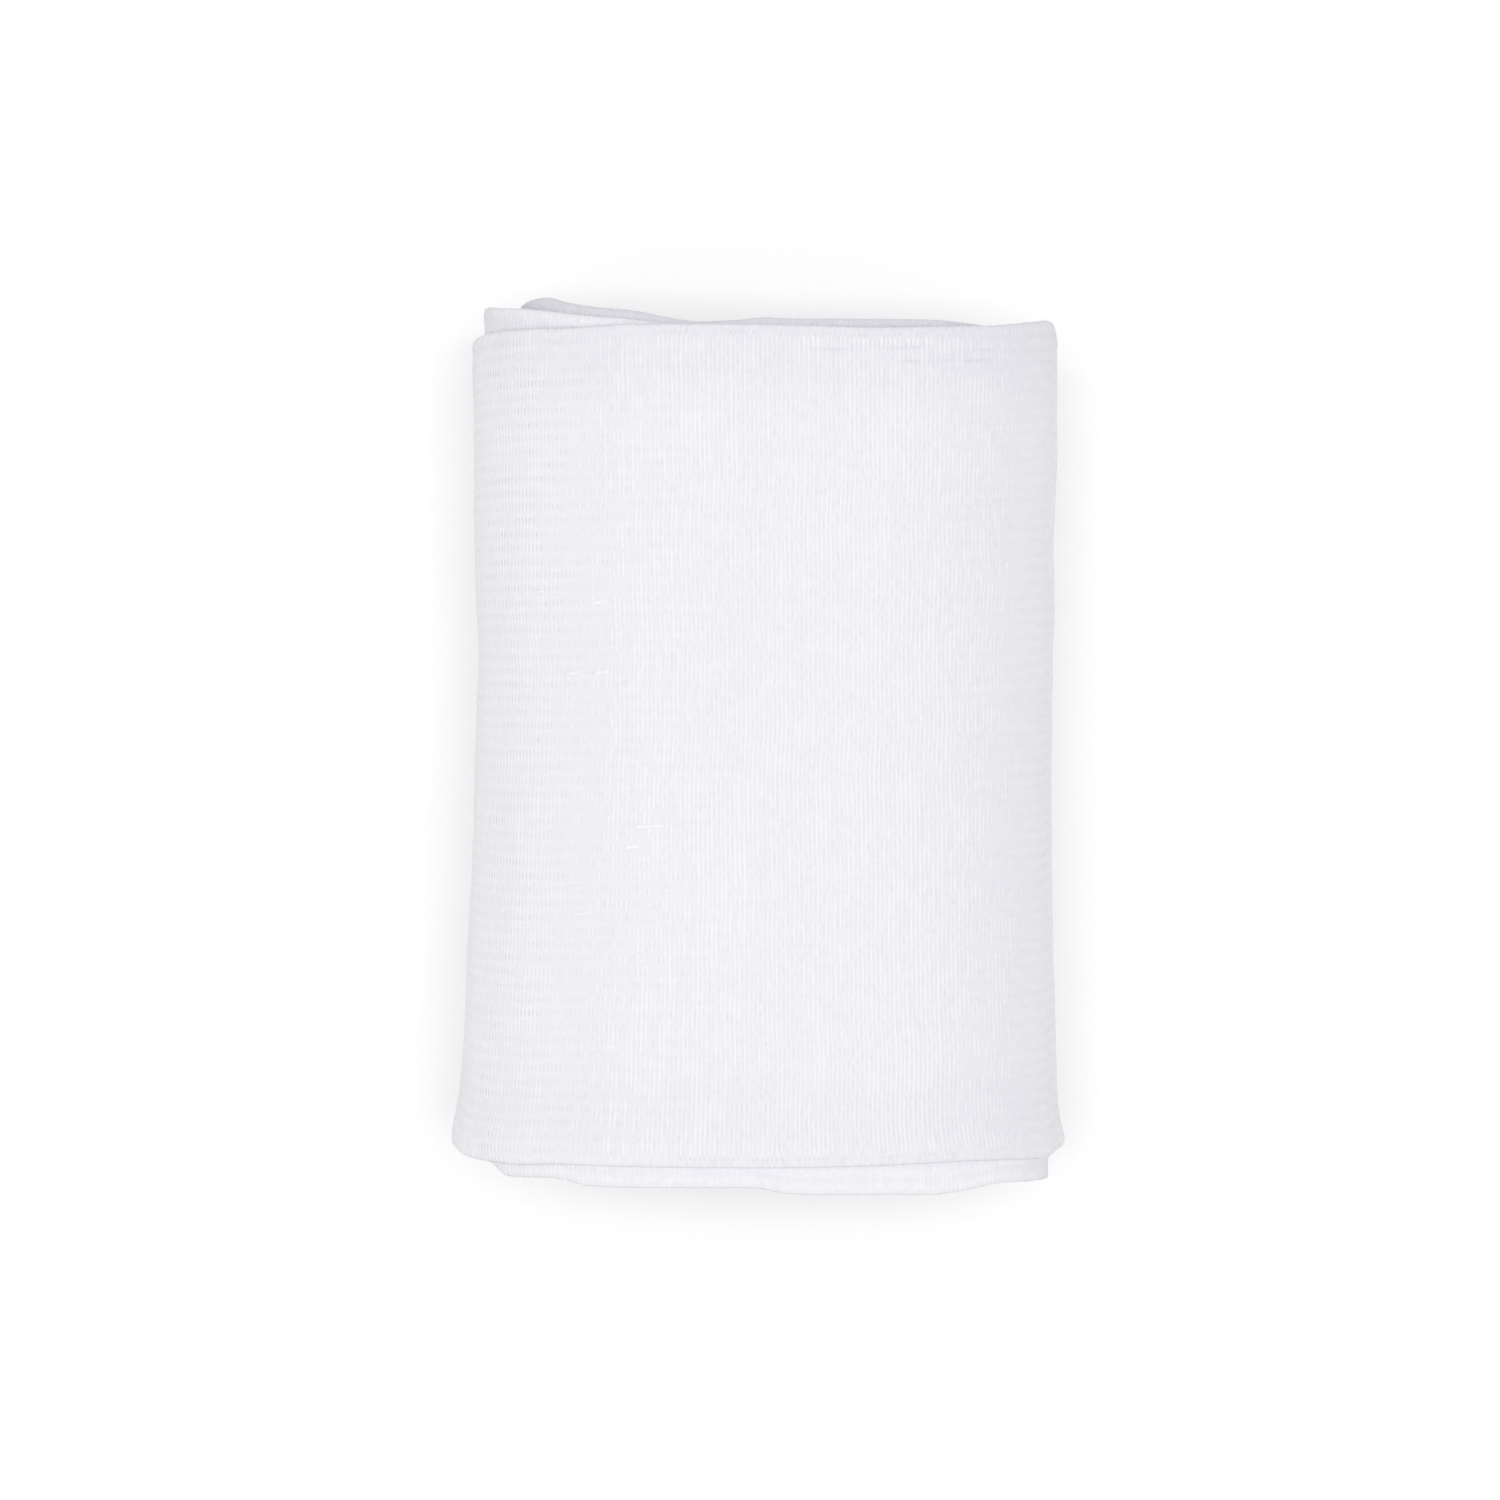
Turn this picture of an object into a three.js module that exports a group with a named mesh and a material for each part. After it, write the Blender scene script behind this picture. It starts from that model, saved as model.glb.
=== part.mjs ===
// A rolled elastic pressure bandage, lying on its side: one knitted strip wound flat about a folded core.
// Millimetres, +Z up. The roll's axis runs along Y, and the roll rests on the flat spot under it, at Z = 0.
import * as THREE from 'three';

// The strip and how it is wound
const CLOTH_THICKNESS = 1.15;
const TURNS = 12;
const TURN_PITCH = 1.45; // from one turn to the next, with the little air between them
const CORE_HALF_LENGTH = 17.4; // half of the flat fold that the strip is wound about
const HALF_HEIGHT = 19.55; // half of the roll's thickness, before it settles
const SETTLE = 0.45; // how far the underside sinks to its flat spot
const LAYER_PRESS = 0.95; // what is left of the pitch where the roll's weight presses the turns

// The section: round ends on the core's fold inside, a fuller oval outside
const CROWN_POWER = 2.3; // the superellipse power of the upper half
const BELLY_POWER = 2.8; // and of the lower half, which is flatter
const OVAL_SHARE_POWER = 1.5; // how soon the inner turns change to round ends

// Steps along one turn of the strip, from the underside right, by the left side and over the top
const FLAT_STEPS = 12;
const ARC_STEPS = 16;
const STEPS_PER_TURN = 2 * (FLAT_STEPS + ARC_STEPS);

// The outer turn's ends hug the turn below
const SHOULDER_LENGTH = 2.4;
const SHOULDER_DROP = 0.6;
const SHOULDER_ROWS = 3;
const SHOULDER_FADE = 0.1; // share of a turn over which this ends, at the loose end and before it
const MIDDLE_ROWS = 16;

// The edge of each turn is a little rounded, and the core's slit is sunk
const EDGE_ROUNDING = 0.35;
const CORE_SINK = 1.5;

// Where the middle of the core's fold stands from the middle of the whole roll's box
const CORE_PLACE = { x: 0.99, y: -1.15 };

// How far the outer surface reaches to each side of the core, at places along the axis
const SIDES = [
  { along: -53, left: 38.9, right: 37.6 },
  { along: -48, left: 39.3, right: 38.0 },
  { along: -43, left: 38.7, right: 37.6 },
  { along: -34, left: 38.0, right: 37.4 },
  { along: -25, left: 37.6, right: 37.1 },
  { along: -15, left: 37.1, right: 37.0 },
  { along: -3, left: 36.6, right: 36.9 },
  { along: 11, left: 36.2, right: 37.1 },
  { along: 19, left: 36.6, right: 37.3 },
  { along: 25, left: 36.7, right: 37.0 },
  { along: 34, left: 36.7, right: 37.5 },
  { along: 46, left: 36.8, right: 37.6 },
  { along: 52, left: 36.4, right: 37.2 },
];

// Where the strip's two long edges lie, at turns counted along it from the loose end.
// In each turn .21 is the underside left, .36 the left side, .61 the top and .86 the right side.
const EDGES = [
  { turn: 0.0, top: 50.5, bottom: -49.5 },
  { turn: 0.21, top: 50.2, bottom: -49.5 },
  { turn: 0.36, top: 50.3, bottom: -48.4 },
  { turn: 0.43, top: 51.1, bottom: -50.0 },
  { turn: 0.5, top: 50.8, bottom: -49.6 },
  { turn: 0.61, top: 50.4, bottom: -49.6 },
  { turn: 0.71, top: 50.4, bottom: -49.5 },
  { turn: 0.79, top: 52.1, bottom: -49.3 },
  { turn: 0.86, top: 50.8, bottom: -48.2 },
  { turn: 0.93, top: 50.8, bottom: -49.6 },
  { turn: 1.21, top: 53.8, bottom: -48.8 },
  { turn: 1.36, top: 54.5, bottom: -49.5 },
  { turn: 1.43, top: 53.4, bottom: -51.8 },
  { turn: 1.5, top: 51.2, bottom: -51.9 },
  { turn: 1.61, top: 49.3, bottom: -52.3 },
  { turn: 1.71, top: 49.0, bottom: -53.0 },
  { turn: 1.86, top: 49.2, bottom: -52.8 },
  { turn: 2.1, top: 50.2, bottom: -50.6 },
  { turn: 2.61, top: 49.8, bottom: -50.4 },
  { turn: 3.0, top: 50.0, bottom: -50.0 },
  { turn: 3.36, top: 51.4, bottom: -48.9 },
  { turn: 3.61, top: 50.2, bottom: -49.8 },
  { turn: 4.0, top: 51.5, bottom: -49.0 },
  { turn: 4.36, top: 54.7, bottom: -46.9 },
  { turn: 4.42, top: 55.4, bottom: -46.6 },
  { turn: 4.5, top: 53.3, bottom: -47.6 },
  { turn: 4.57, top: 51.9, bottom: -48.3 },
  { turn: 4.62, top: 52.4, bottom: -48.5 },
  { turn: 4.86, top: 52.2, bottom: -48.9 },
  { turn: 5.3, top: 50.9, bottom: -49.8 },
  { turn: 5.8, top: 49.7, bottom: -50.7 },
  { turn: 6.4, top: 50.7, bottom: -49.6 },
  { turn: 7.1, top: 49.9, bottom: -50.5 },
  { turn: 7.9, top: 50.8, bottom: -49.9 },
  { turn: 8.7, top: 49.6, bottom: -50.8 },
  { turn: 9.6, top: 50.3, bottom: -49.7 },
  { turn: 10.6, top: 49.5, bottom: -50.3 },
  { turn: 12.0, top: 49.9, bottom: -49.6 },
];

/** The value of a column at a place, on straight lines between the table's rows. */
function readTable(rows, key, place, column) {
  const next = rows.findIndex((row) => row[key] >= place);
  if (next === 0) return rows[0][column];
  if (next < 0) return rows[rows.length - 1][column];
  const [low, high] = [rows[next - 1], rows[next]];
  const share = (place - low[key]) / (high[key] - low[key]);
  return THREE.MathUtils.lerp(low[column], high[column], share);
}

/** A point of the round-ended form about the core's fold, for a step within one turn. */
function stadiumPoint(step, radius) {
  if (step < FLAT_STEPS) {
    return { x: CORE_HALF_LENGTH * (1 - (2 * step) / FLAT_STEPS), z: -radius };
  }
  const upper = step - FLAT_STEPS - ARC_STEPS;
  if (upper >= 0 && upper < FLAT_STEPS) {
    return { x: CORE_HALF_LENGTH * ((2 * upper) / FLAT_STEPS - 1), z: radius };
  }
  const onLeft = upper < 0;
  const share = (onLeft ? step - FLAT_STEPS : upper - FLAT_STEPS) / ARC_STEPS;
  const turned = Math.PI * (onLeft ? -0.5 - share : 0.5 - share);
  const centre = onLeft ? -CORE_HALF_LENGTH : CORE_HALF_LENGTH;
  return { x: centre + radius * Math.cos(turned), z: radius * Math.sin(turned) };
}

/** A point of the roll: a step along the strip, a depth below the outer surface and a place along the axis. */
function rollPoint(step, depth, along) {
  const radius = HALF_HEIGHT - depth;
  const flat = stadiumPoint(step % STEPS_PER_TURN, radius);
  const power = flat.z > 0 ? CROWN_POWER : BELLY_POWER;
  const reach = Math.abs(flat.x) / (CORE_HALF_LENGTH + radius);
  const rise = Math.abs(flat.z) / radius;
  const oval = 1 / (reach ** power + rise ** power) ** (1 / power);
  const scale = THREE.MathUtils.lerp(1, oval, (radius / HALF_HEIGHT) ** OVAL_SHARE_POWER);
  const side = readTable(SIDES, 'along', along, flat.x < 0 ? 'left' : 'right');
  const x = (flat.x * scale * side) / (CORE_HALF_LENGTH + HALF_HEIGHT);
  const z = flat.z * scale + HALF_HEIGHT - SETTLE;
  const layersBelow = depth - stripDepth(step % STEPS_PER_TURN);
  return new THREE.Vector3(x, along, Math.max(z, layersBelow * LAYER_PRESS));
}

/** How far below the outer surface the strip's outer face lies, at a step along it. */
function stripDepth(step) {
  return (TURN_PITCH * step) / STEPS_PER_TURN;
}

/** Shares of the outer turn's width at which it has a ring of points, closer together at its shoulders. */
function wallRows() {
  const width = EDGES[0].top - EDGES[0].bottom;
  const shoulder = Array.from({ length: SHOULDER_ROWS }, (_, row) =>
    ((row / SHOULDER_ROWS) * SHOULDER_LENGTH) / width);
  const middle = Array.from({ length: MIDDLE_ROWS + 1 }, (_, row) =>
    THREE.MathUtils.lerp(SHOULDER_LENGTH / width, 1 - SHOULDER_LENGTH / width, row / MIDDLE_ROWS));
  return [...shoulder, ...middle, ...shoulder.map((share) => 1 - share).reverse()];
}

/** A point of the outer turn's face, which drops towards the turn below at both ends. */
function wallPoint(step, share) {
  const turn = step / STEPS_PER_TURN;
  const bottom = readTable(EDGES, 'turn', turn, 'bottom');
  const top = readTable(EDGES, 'turn', turn, 'top');
  const along = THREE.MathUtils.lerp(bottom, top, share);
  const toEdge = Math.min(along - bottom, top - along);
  const near = Math.max(0, 1 - toEdge / SHOULDER_LENGTH);
  const fade = Math.min(1, turn / SHOULDER_FADE, (1 - turn) / SHOULDER_FADE);
  return rollPoint(step, stripDepth(step) + SHOULDER_DROP * fade * near ** 2, along);
}

/** Collects the points and triangles of one closed body. */
class BodyBuilder {
  constructor() {
    this.positions = [];
    this.indices = [];
  }

  /** Adds a point and gives back its number. */
  point(vector) {
    this.positions.push(vector.x, vector.y, vector.z);
    return this.positions.length / 3 - 1;
  }

  /** Adds a fan of triangles over a convex outline, the other way round when flipped. */
  face(outline, flipped = false) {
    for (let corner = 1; corner + 1 < outline.length; corner += 1) {
      const [second, third] = flipped ? [corner + 1, corner] : [corner, corner + 1];
      this.indices.push(outline[0], outline[second], outline[third]);
    }
  }

  /** The finished geometry. */
  geometry() {
    const geometry = new THREE.BufferGeometry();
    geometry.setAttribute('position', new THREE.Float32BufferAttribute(this.positions, 3));
    geometry.setIndex(this.indices);
    geometry.computeVertexNormals();
    return geometry;
  }
}

/** The outer turn's face, from the loose end once round to where it passes under that end. */
function addWall(body) {
  const rows = wallRows();
  const wall = Array.from({ length: STEPS_PER_TURN + 1 }, (_, step) =>
    rows.map((share) => body.point(wallPoint(step, share))));
  for (let step = 0; step < STEPS_PER_TURN; step += 1) {
    for (let row = 0; row + 1 < rows.length; row += 1) {
      body.face([wall[step][row], wall[step + 1][row], wall[step + 1][row + 1], wall[step][row + 1]]);
    }
  }
  return wall;
}

/** One end of the roll: a spiral of turn edges, each a band with a step down or up to the next turn. */
function addEnd(body, column, rims, tailInner) {
  const outward = column === 'top' ? 1 : -1;
  const flipped = column === 'bottom';
  const lastStep = TURNS * STEPS_PER_TURN;
  const outer = [...rims];
  const inner = [tailInner];
  for (let step = 1; step <= lastStep; step += 1) {
    const along = readTable(EDGES, 'turn', step / STEPS_PER_TURN, column);
    if (step > STEPS_PER_TURN) {
      outer.push(body.point(rollPoint(step, stripDepth(step), along)));
    }
    const depth = stripDepth(step) + CLOTH_THICKNESS;
    inner.push(body.point(rollPoint(step, depth, along - outward * EDGE_ROUNDING)));
  }
  for (let step = 0; step < lastStep; step += 1) {
    body.face([outer[step], outer[step + 1], inner[step + 1], inner[step]], flipped);
    const below = step + STEPS_PER_TURN;
    if (below < lastStep) {
      body.face([inner[step], inner[step + 1], outer[below + 1], outer[below]], flipped);
    }
  }
  addCoreSlit(body, column, inner, outer[lastStep]);
}

/** The sunk slit in the middle of an end, closed between its lower and upper lip. */
function addCoreSlit(body, column, inner, stripEnd) {
  const outward = column === 'top' ? 1 : -1;
  const flipped = column === 'bottom';
  const firstStep = (TURNS - 1) * STEPS_PER_TURN;
  const lip = inner.slice(firstStep);
  const sunk = lip.map((_, count) => {
    const step = firstStep + count;
    const depth = stripDepth(step) + CLOTH_THICKNESS + EDGE_ROUNDING;
    const along = readTable(EDGES, 'turn', step / STEPS_PER_TURN, column) - outward * CORE_SINK;
    return body.point(rollPoint(step, depth, along));
  });
  for (let step = 0; step < STEPS_PER_TURN; step += 1) {
    body.face([lip[step], lip[step + 1], sunk[step + 1], sunk[step]], flipped);
  }
  body.face([lip[0], sunk[0], sunk[STEPS_PER_TURN], lip[STEPS_PER_TURN], stripEnd], flipped);
  const leftmost = FLAT_STEPS + ARC_STEPS / 2;
  const rightmost = leftmost + STEPS_PER_TURN / 2;
  const seam = 2 * leftmost;
  const lower = [...sunk.slice(rightmost), ...sunk.slice(0, leftmost + 1)];
  const upper = [...sunk.slice(seam, rightmost + 1).reverse(), ...sunk.slice(leftmost, seam + 1).reverse()];
  for (let pair = 0; pair + 1 < lower.length; pair += 1) {
    const corners = new Set([lower[pair], lower[pair + 1], upper[pair + 1], upper[pair]]);
    body.face([...corners], flipped);
  }
}

/** The loose end's cut face, across the roll, between the outer turn's start and the turn under it. */
function addTailFace(body, wall, tailInner) {
  const start = wall[0];
  const under = wall[STEPS_PER_TURN];
  const last = start.length - 1;
  body.face([start[1], under[1], under[0], tailInner.bottom, start[0]]);
  for (let row = 1; row < last - 1; row += 1) {
    body.face([start[row], start[row + 1], under[row + 1], under[row]]);
  }
  body.face([start[last - 1], start[last], tailInner.top, under[last], under[last - 1]]);
}

/** A point inside the loose end's cut edge, on the line from its outer corner to the turn under it. */
function tailInnerPoint(share) {
  const outerCorner = wallPoint(0, share);
  const under = wallPoint(STEPS_PER_TURN, share);
  return outerCorner.lerp(under, CLOTH_THICKNESS / TURN_PITCH);
}

/** The whole roll as one closed body. */
function makeRollGeometry() {
  const body = new BodyBuilder();
  const wall = addWall(body);
  const tailInner = {
    bottom: body.point(tailInnerPoint(0)),
    top: body.point(tailInnerPoint(1)),
  };
  addTailFace(body, wall, tailInner);
  addEnd(body, 'bottom', wall.map((ring) => ring[0]), tailInner.bottom);
  addEnd(body, 'top', wall.map((ring) => ring[ring.length - 1]), tailInner.top);
  return body.geometry();
}

/** White elastic knit, with a faint cool tint. */
function knitMaterial() {
  return new THREE.MeshStandardMaterial({ color: 0xf0eff4, roughness: 0.95, metalness: 0 });
}

const bandage = new THREE.Group();
const roll = new THREE.Mesh(makeRollGeometry(), knitMaterial());
roll.name = 'bandage_roll';
roll.position.set(CORE_PLACE.x, CORE_PLACE.y, 0);
bandage.add(roll);

export default bandage;
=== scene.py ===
"""The look of the rolled elastic pressure bandage: one knitted strip wound flat about its core.

Shapes are worked out in millimetres about the middle of the core's fold, with the sizes of the part's source.
The strip is one closed mesh. Places on it are the length along it from the loose end, and the width across it
from its bottom edge, and the knit's pattern is drawn in those.
"""

import math

import bpy
import numpy as np
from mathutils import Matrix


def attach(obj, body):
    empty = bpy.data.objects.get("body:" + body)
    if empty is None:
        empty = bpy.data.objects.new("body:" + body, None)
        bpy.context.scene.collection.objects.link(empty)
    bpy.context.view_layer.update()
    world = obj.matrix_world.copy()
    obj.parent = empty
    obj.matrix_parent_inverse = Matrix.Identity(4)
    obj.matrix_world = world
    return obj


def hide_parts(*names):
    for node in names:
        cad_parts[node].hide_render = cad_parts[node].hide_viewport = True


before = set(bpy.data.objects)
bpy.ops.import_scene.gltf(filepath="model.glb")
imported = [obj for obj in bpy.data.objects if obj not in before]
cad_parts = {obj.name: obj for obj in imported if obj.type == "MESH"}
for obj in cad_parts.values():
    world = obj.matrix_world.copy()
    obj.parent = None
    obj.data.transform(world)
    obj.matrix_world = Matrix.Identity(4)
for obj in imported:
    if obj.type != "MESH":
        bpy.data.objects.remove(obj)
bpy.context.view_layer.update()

MM = 0.001

# The strip and how it is wound, as in the part
CLOTH_THICKNESS = 1.15
TURNS = 12
TURN_PITCH = 1.45
CORE_HALF_LENGTH = 17.4
HALF_HEIGHT = 19.55
SETTLE = 0.45
LAYER_PRESS = 0.95
CROWN_POWER = 2.3
BELLY_POWER = 2.8
OVAL_SHARE_POWER = 1.5
CORE_PLACE = (0.99, -1.15)
SMALLEST_RADIUS = 0.5

# Shares of one turn that the core's flat sides and its round ends take
FLAT_SHARE = 12 / 56
ARC_SHARE = 16 / 56

# The turns lie a little unevenly on one another: height of the wobble, its rate and how that rate swings
WOBBLE_HEIGHT = 0.09
WOBBLE_RATE = 2.7
WOBBLE_SWING = 1.3
WOBBLE_SWING_RATE = 1.9
WOBBLE_FADE = 1.5

# The middle of the roll's top, in turns, and how far from it the roll's sides begin and how softly
TOP_MIDDLE = 0.61
SIDE_STEP = 0.16
SIDE_START = 0.6

# The outer turn's ends hug the turn below, less at the roll's sides: drop at the bottom and at the top
SHOULDER_LENGTH = 3.6
SHOULDER_DROP = (0.12, -0.1)
SIDE_SHOULDER_SHARE = 0.2
SHOULDER_FADE = 0.1
HUG_GAP = 0.06

# How much the strip thins out at its bottom edge and at its top edge, less at the roll's sides
EDGE_THINNING = (0.16, 0.2)
EDGE_THINNING_LENGTH = 1.5
SIDE_THINNING_SHARE = 0.35
EDGE_RELIEF_LOSS = 0.7

# Cloth of the inner turns past this place at the top droops, and so does the second turn's flap
DROOP_START = 51.2
DROOP_RATE = 0.16
DROOP_FROM_TURN = 2
FLAP_DROOP = 0.6
FLAP_START = 50.2
FLAP_LENGTH = 1.2
FLAP_TURNS = (1.2, 1.8)
FLAP_FADE = 0.1

# The strip's last stretch fills the slit of the core, where it sags a little
CORE_TURNS = 0.7
CORE_SAG = 0.5
CORE_SAG_WAVE = 0.42
CORE_SAG_LENGTH = 9
CORE_SAG_PHASE = 1
CORE_SAG_FADE = 0.3

# The knit: lengthwise rows, and fine raised ribs across the strip
STRIP_WIDTH = 100
ROW_COUNT = 61
ROW_PITCH = STRIP_WIDTH / ROW_COUNT
ROW_HEIGHT = 0.05
ROW_ROUNDNESS = 0.6
ROW_LEVEL = 0.6
ROW_UNEVENNESS = 0.25
RIB_PITCH = 0.536
RIB_HALF_WIDTH = 0.195
RIB_HEIGHT = 0.085
RIB_MOST_HEIGHT = 0.16
RIB_FOOT_DEPTH = 0.05
RIB_SUNK_DEPTH = 0.03
RIB_END_FADE = 1.8
LAST_RIBS_FADE = 4

# How soft fields of waves are mixed: how many waves, and their lengths in shares of the one asked for
WAVE_COUNT = 9
WAVE_LENGTHS = (0.7, 1.5)

# How the rows' height varies: seed, how much finer it is across the strip, length of its waves
ROW_WAVES = (11, 4, 9)

# Soft unevenness of the outer turn: seed, height, how much finer it is across the strip, length of its waves
UNEVENNESS = [(21, 0.11, 1, 26), (22, 0.05, 1.6, 9)]

# A rib's section: share of its half width to the side, and 1 at its back and 0 at its feet
RIB_SIDE = np.array([-1, -0.55, 0, 0.55, 1])
RIB_BACK = np.array([0, 0.8, 1, 0.8, 0])

# Where the knit is stretched open, so that ribs show only between its rows: from and to in turns, and a bulge
OPEN_FROM = 0.44
OPEN_TO = 0.595
OPEN_BULGE = 9
OPEN_BULGE_PLACE = 31
OPEN_BULGE_HALF_WIDTH = 9

# How soon ribs sink towards the middle of a row where the knit is open
OPEN_ROW_GAIN = 2
OPEN_ROW_START = 0.2

# Ribs stand up between these places. On the left they fade in, and the knit has fine slits beyond them
SLITS_TO = 0.43
RIBS_FROM = 0.49
RIBS_TO = 0.84

# Soft patches where ribs lie flatter: seed, weight, how fine along and across the strip, length of the waves
PATCH_WAVES = [(51, 1.1, 1, 2.2, 7), (52, 0.6, 1.6, 3, 5)]
PATCH_LOSS = 0.35
OPEN_PATCH_LOSS = 0.55

# Ribs lie flatter towards the right, more so in the patches, and hardly show on the roll's right side
RIGHT_FADE = (0.69, 0.78)
RIGHT_LOSS = 0.45
RIGHT_PATCH_LOSS = 0.35
RIGHT_PATCH_START = 0.2
LAST_FADE = (0.77, 0.81)
LAST_LOSS = 0.8

# How far a rib's short and long strokes blend over the half rows beside them, and how much of them shows
SHORT_STROKE = np.array([1, 1])
LONG_STROKE = np.bartlett(15)[1:-1]
LONG_STROKE_SHARE = 0.6
LONG_STROKE_FADE = (0.7, 0.77)
STROKE_GAIN = 0.7

# How much strokes weaken at the rows' valleys everywhere, and how much more so on the left
ROW_STROKE = 0.12
LEFT_ROW_STROKE = 0.2
LEFT_ROWS = (0.6, 0.52)

# A rib's height and width, in shares of the plain ones: at no stroke, and what a full stroke adds
RIB_BASE_HEIGHT = 0.85
RIB_STROKE_HEIGHT = 0.4
RIB_STROKE_WIDTH = 0.12

# How ribs sway, over which length, how slowly that changes from rib to rib, and how far ribs and places stray
RIB_SEED = 7
RIB_SWAY_SEED = 41
RIB_SWAY = 0.15
RIB_SWAY_LENGTH = 12
RIB_SWAY_CHANGE = 0.2
RIB_STRAY = 0.02
PLACE_STRAY = 0.012

# A row of bright stitches beside the top edge: turns from and to, place across the strip and half width
BRIGHT_STITCHES = (0.625, 0.735, 98.36, 0.1)
BRIGHT_STROKE = 2.4
BRIGHT_CHANCE = (-0.6, 1.3)

# How far the shadow of a turn's top edge reaches over the turn below
COVERED_REACH = 0.8

# The outer turn's relief fades out here, in turns
RELIEF_END = 1.02
RELIEF_FADE = 0.04

# How far the middle of each long edge stands out
RIM_REACH = 0.12

# Over what length the tables of the roll's sides and of the strip's edges are smoothed, and in how many steps
SIDE_SPREAD = 1.2
EDGE_SPREAD = 0.004
SPREAD_STEPS = 5

# How far the outer surface reaches to each side of the core: place along the axis, left, right
SIDES = np.array(
    [
        (-53, 39.4, 38.0),
        (-50, 39.5, 37.85),
        (-49, 39.6, 38.85),
        (-48, 39.7, 38.75),
        (-46.5, 39.5, 38.2),
        (-43, 38.7, 37.7),
        (-34, 38.0, 37.4),
        (-25, 37.6, 37.1),
        (-15, 37.1, 37.0),
        (-3, 36.6, 36.9),
        (11, 36.2, 37.1),
        (19, 36.6, 37.3),
        (25, 36.7, 37.0),
        (34, 36.7, 37.5),
        (46, 36.9, 37.7),
        (52, 36.9, 37.7),
    ]
)

# Where the strip's two long edges lie: turns from the loose end, top edge, bottom edge
EDGES = np.array(
    [
        (0.0, 50.5, -49.5),
        (0.21, 50.2, -49.5),
        (0.36, 50.5, -48.4),
        (0.38, 50.6, -48.9),
        (0.39, 50.8, -49.5),
        (0.4, 50.85, -49.75),
        (0.42, 50.8, -49.85),
        (0.435, 50.7, -49.9),
        (0.455, 50.5, -49.55),
        (0.5, 50.7, -49.6),
        (0.61, 50.5, -49.65),
        (0.68, 50.25, -49.5),
        (0.71, 50.35, -49.4),
        (0.755, 50.75, -49.2),
        (0.78, 51.15, -49.4),
        (0.8, 51.8, -49.6),
        (0.818, 52.4, -49.85),
        (0.826, 52.75, -49.1),
        (0.831, 52.4, -48.9),
        (0.84, 51.5, -49.0),
        (0.857, 50.8, -49.2),
        (0.93, 50.8, -49.6),
        (1.21, 53.8, -48.8),
        (1.34, 54.8, -48.8),
        (1.373, 54.7, -48.8),
        (1.4, 53.9, -49.3),
        (1.411, 53.7, -50.2),
        (1.419, 53.5, -51.7),
        (1.43, 53.2, -51.55),
        (1.455, 52.4, -51.35),
        (1.463, 52.2, -51.6),
        (1.473, 51.95, -52.15),
        (1.492, 51.7, -52.25),
        (1.52, 51.2, -52.25),
        (1.6, 49.6, -52.15),
        (1.609, 49.4, -52.4),
        (1.617, 49.3, -52.8),
        (1.635, 49.1, -53.0),
        (1.71, 49.0, -53.1),
        (1.738, 49.1, -53.3),
        (1.765, 49.1, -52.8),
        (1.782, 49.1, -52.3),
        (1.8, 49.1, -52.45),
        (1.84, 49.2, -52.95),
        (1.9, 49.2, -53.1),
        (2.1, 50.2, -50.6),
        (2.61, 49.8, -50.4),
        (3.0, 50.0, -50.0),
        (3.36, 51.4, -48.9),
        (3.61, 50.2, -49.8),
        (4.0, 51.8, -49.0),
        (4.3, 54.2, -47.1),
        (4.36, 54.9, -46.8),
        (4.385, 55.35, -46.7),
        (4.398, 55.5, -46.7),
        (4.41, 55.45, -46.8),
        (4.419, 55.2, -46.8),
        (4.427, 54.75, -46.9),
        (4.452, 53.95, -47.1),
        (4.47, 53.6, -47.4),
        (4.502, 53.2, -47.7),
        (4.516, 52.8, -47.9),
        (4.529, 52.3, -48.0),
        (4.555, 51.65, -48.2),
        (4.59, 51.9, -48.4),
        (4.605, 52.25, -48.5),
        (4.625, 52.05, -48.5),
        (4.75, 52.1, -48.7),
        (4.8, 51.85, -48.8),
        (4.86, 51.8, -48.9),
        (5.3, 50.9, -49.8),
        (5.8, 49.7, -50.7),
        (6.4, 50.7, -49.6),
        (7.1, 49.9, -50.5),
        (7.9, 50.8, -49.9),
        (8.7, 49.6, -50.8),
        (9.6, 50.3, -49.7),
        (10.6, 49.5, -50.3),
        (12.0, 49.9, -49.6),
        (12.2, 48.6, -48.1),
        (12.7, 48.3, -48.3),
    ]
)

# Soft lengthwise creases in the outer turn: turns from and to, place across the strip, half width, height
CREASES = [
    (0.62, 0.76, 97.5, 0.8, -0.15),
    (0.66, 0.8, 95.95, 0.8, -0.14),
    (0.62, 0.73, 3.4, 1.3, 0.2),
    (0.63, 0.72, 5.4, 1.0, -0.16),
    (0.41, 0.5, 96.6, 0.8, -0.12),
]
CREASE_SEED = 31
CREASE_WANDER = 0.35
CREASE_WANDER_LENGTH = 18
CREASE_START_FADE = 0.02
CREASE_END_FADE = 0.03

# Painted shade in fine lines along the creases by the top edge: turns from and to, and place across the strip
CREASE_LINES = [(0.63, 0.685, 97.3), (0.69, 0.745, 97.6), (0.68, 0.79, 95.95), (0.75, 0.79, 97.2)]
LINE_EDGE = (0.05, 0.35)
LINE_WANDER = 0.9
LINE_WANDER_RATES = (0.15, 1)
LINE_BREAK_RATES = (0.5, 10)
LINE_BREAKS = (-0.2, 0.1)

# How many rings of points each turn has; the turns that show have more
RINGS = [226, 150, 72, 72, 150] + [64] * 7
CORE_RINGS = 46

# How many rings past the outer turn are still as fine as its own, and the steps in which length is measured
MORE_FINE_RINGS = 3
LENGTH_STEPS = 6000

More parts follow.
